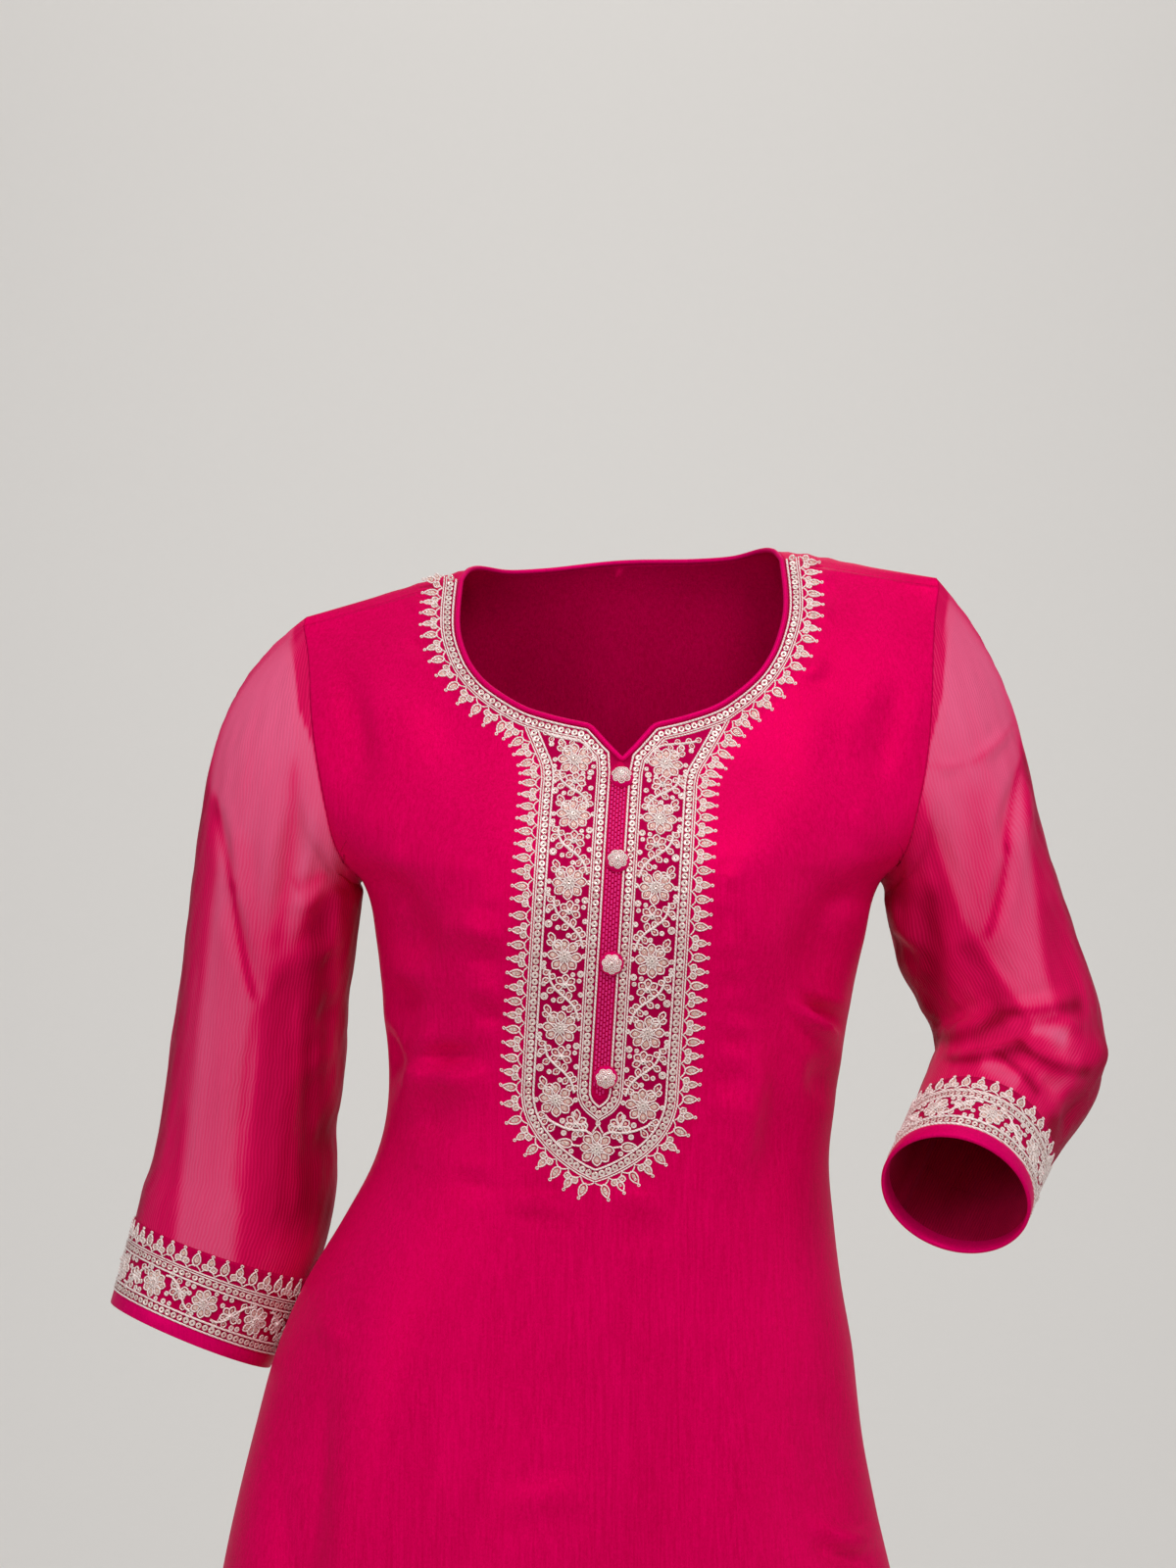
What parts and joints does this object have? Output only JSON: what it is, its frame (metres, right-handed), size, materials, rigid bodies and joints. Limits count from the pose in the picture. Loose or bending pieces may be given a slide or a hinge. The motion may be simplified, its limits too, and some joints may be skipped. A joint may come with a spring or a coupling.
{
  "type": "salwar kameez suit",
  "caption": "Worn kameez with embroidered yoke and placket, sheer three-quarter sleeves with banded cuffs, over a plain straight salwar; hollow, held at the shoulders.",
  "frame": {"origin": "midway between the two side neck points, level with the shoulders that hold the suit up", "axes": "the suit faces -Y and hangs down -Z; +X is towards the wearer's left arm"},
  "size_m": [0.6171, 0.3039, 1.4152],
  "materials": {
    "crepe": "magenta satin-backed crepe, soft sheen",
    "sheer": "magenta sheer crinkled chiffon",
    "embroidered": "magenta crepe covered in rose-gold thread and sequin embroidery",
    "piping": "brighter pink folded satin",
    "buttons": "cloth-covered domes with rose-gold thread",
    "salwar_crepe": "plain magenta crepe"
  },
  "bodies": {
    "root": {"kameez_front": "crepe", "kameez_back": "crepe", "neck_piping": "piping", "yoke_panel": "embroidered", "placket": "piping", "button_1": "buttons", "button_2": "buttons", "button_3": "buttons", "button_4": "buttons", "sleeve_right": "sheer", "sleeve_left": "sheer", "armhole_facing_right": "crepe", "armhole_facing_left": "crepe", "cuff_panel_right": "embroidered", "cuff_panel_left": "embroidered", "cuff_hem_right": "piping", "cuff_hem_left": "piping", "salwar_waistband": "salwar_crepe", "salwar_belt": "salwar_crepe", "salwar_leg_right": "salwar_crepe", "salwar_leg_left": "salwar_crepe", "salwar_poncha_right": "salwar_crepe", "salwar_poncha_left": "salwar_crepe"}
  },
  "joints": []
}
